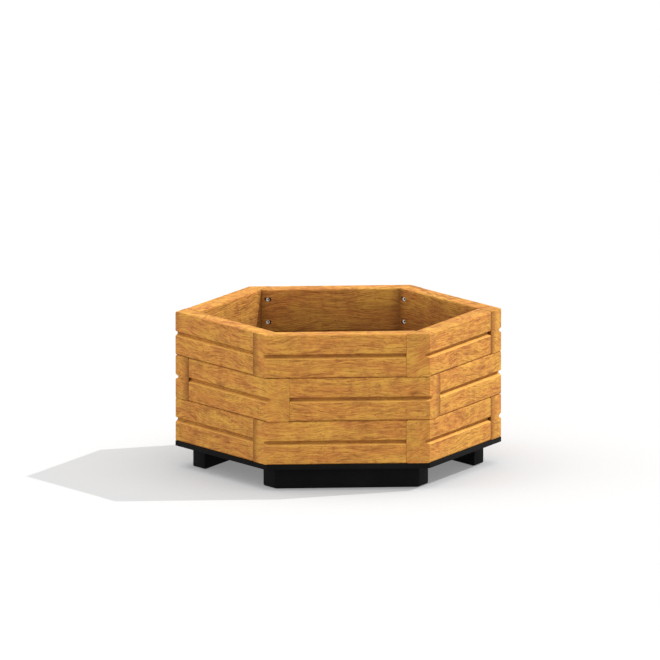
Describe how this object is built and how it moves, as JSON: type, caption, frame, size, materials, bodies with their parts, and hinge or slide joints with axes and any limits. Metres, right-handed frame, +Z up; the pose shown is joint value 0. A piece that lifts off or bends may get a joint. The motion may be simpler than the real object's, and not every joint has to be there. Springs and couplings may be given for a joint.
{
  "type": "planter box",
  "caption": "Hexagonal timber planter box: grooved boards lapped at the corners in courses on a flat black base plate with drain holes and beam feet.",
  "frame": {"origin": "on the ground, under the middle of the hexagon", "axes": "+Z up; the front side faces -Y; +X runs through the right-hand corner, across the widest part"},
  "size_m": [0.712, 0.6166, 0.343],
  "materials": {
    "stained_timber": "golden-brown stain on planed softwood, satin",
    "black_plate": "black compact board, fine matte texture",
    "black_beam": "black moulded plastic beam, matte",
    "zinc_screw": "zinc-plated steel",
    "dowel_wood": "plain turned hardwood"
  },
  "bodies": {
    "root": {"board_bottom_front": "stained_timber", "board_bottom_front_right": "stained_timber", "board_bottom_rear_right": "stained_timber", "board_bottom_rear": "stained_timber", "board_bottom_rear_left": "stained_timber", "board_bottom_front_left": "stained_timber", "board_middle_front": "stained_timber", "board_middle_front_right": "stained_timber", "board_middle_rear_right": "stained_timber", "board_middle_rear": "stained_timber", "board_middle_rear_left": "stained_timber", "board_middle_front_left": "stained_timber", "board_top_front": "stained_timber", "board_top_front_right": "stained_timber", "board_top_rear_right": "stained_timber", "board_top_rear": "stained_timber", "board_top_rear_left": "stained_timber", "board_top_front_left": "stained_timber", "base_plate": "black_plate", "foot_front": "black_beam", "foot_rear_right": "black_beam", "foot_rear_left": "black_beam", "corner_screws_bottom": "zinc_screw", "corner_screws_middle": "zinc_screw", "corner_screws_top": "zinc_screw", "dowels_lower": "dowel_wood", "dowels_upper": "dowel_wood", "plate_screws": "zinc_screw", "foot_screws": "zinc_screw"}
  },
  "joints": []
}
